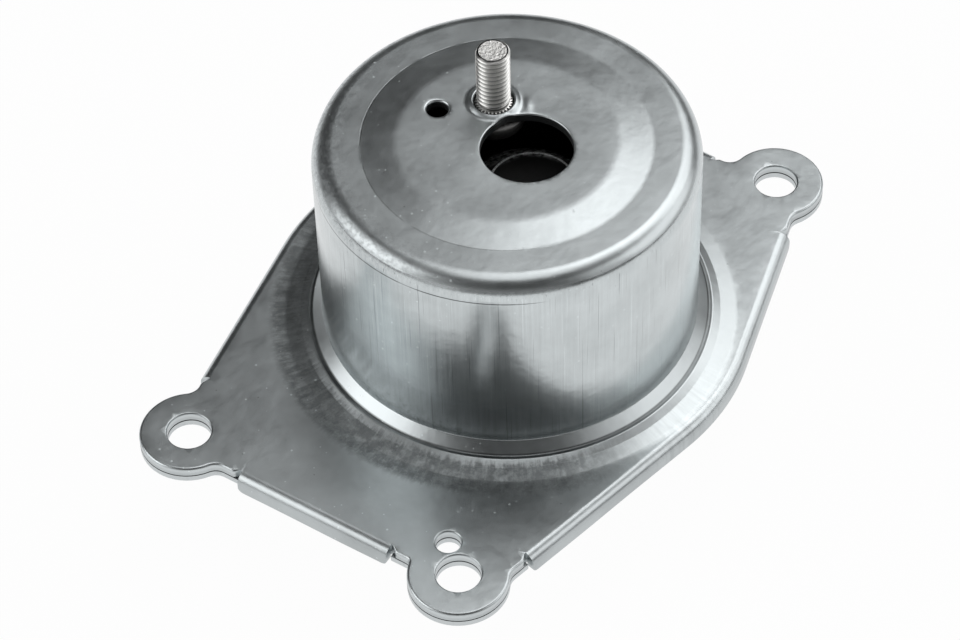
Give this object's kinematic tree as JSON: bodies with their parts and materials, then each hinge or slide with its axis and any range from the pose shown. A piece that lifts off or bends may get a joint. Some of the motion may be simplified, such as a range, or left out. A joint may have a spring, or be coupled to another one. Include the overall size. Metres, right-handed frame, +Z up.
{
  "type": "hydraulic engine mount",
  "caption": "Round drawn-steel hydraulic engine mount with a lugged flange, a threaded stud and a vent hole in its top, and an aluminium core in a rubber spring.",
  "frame": {"origin": "mouth of the core's threaded hole, in the plane of the core's seat, on the can's axis", "axes": "+Z up along the can's axis to the stud, +X to the right lug's side, -Y to the front lug"},
  "size_m": [0.1669, 0.1509, 0.1013],
  "materials": {
    "zinc_steel": "bright zinc-coated sheet",
    "stud_steel": "grey phosphated steel with a rolled thread",
    "plate_steel": "bright zinc-coated sheet",
    "ring_steel": "plain cold-rolled steel",
    "spring_rubber": "black moulded rubber",
    "core_aluminium": "die-cast aluminium",
    "bush_steel": "plain cold-rolled steel",
    "ball_steel": "plain cold-rolled steel",
    "limit_steel": "plain cold-rolled steel",
    "buffer_rubber": "black moulded rubber",
    "rivet_steel": "plain cold-rolled steel",
    "seal_rubber": "black moulded rubber",
    "channel_aluminium": "die-cast aluminium",
    "membrane_rubber": "black moulded rubber",
    "channel_casting": "die-cast aluminium",
    "channel_rivet_steel": "plain cold-rolled steel",
    "diaphragm_rubber": "black moulded rubber",
    "rim_steel": "plain cold-rolled steel",
    "sleeve_steel": "plain cold-rolled steel"
  },
  "bodies": {
    "root": {"housing_can": "zinc_steel", "can_stud": "stud_steel", "lower_flange_plate": "plate_steel", "spring_outer_ring": "ring_steel", "main_rubber_spring": "spring_rubber", "core": "core_aluminium", "core_thread_bush": "bush_steel", "fill_ball": "ball_steel", "travel_limit_plate": "limit_steel", "travel_limit_buffer": "buffer_rubber", "limit_plate_rivet": "rivet_steel", "chamber_seal_ring": "seal_rubber", "lower_channel_plate": "channel_aluminium", "decoupler_membrane": "membrane_rubber", "upper_channel_plate": "channel_casting", "channel_plate_rivets": "channel_rivet_steel", "rolling_diaphragm": "diaphragm_rubber", "diaphragm_rim_ring": "rim_steel", "spacer_sleeve": "sleeve_steel"}
  },
  "joints": []
}
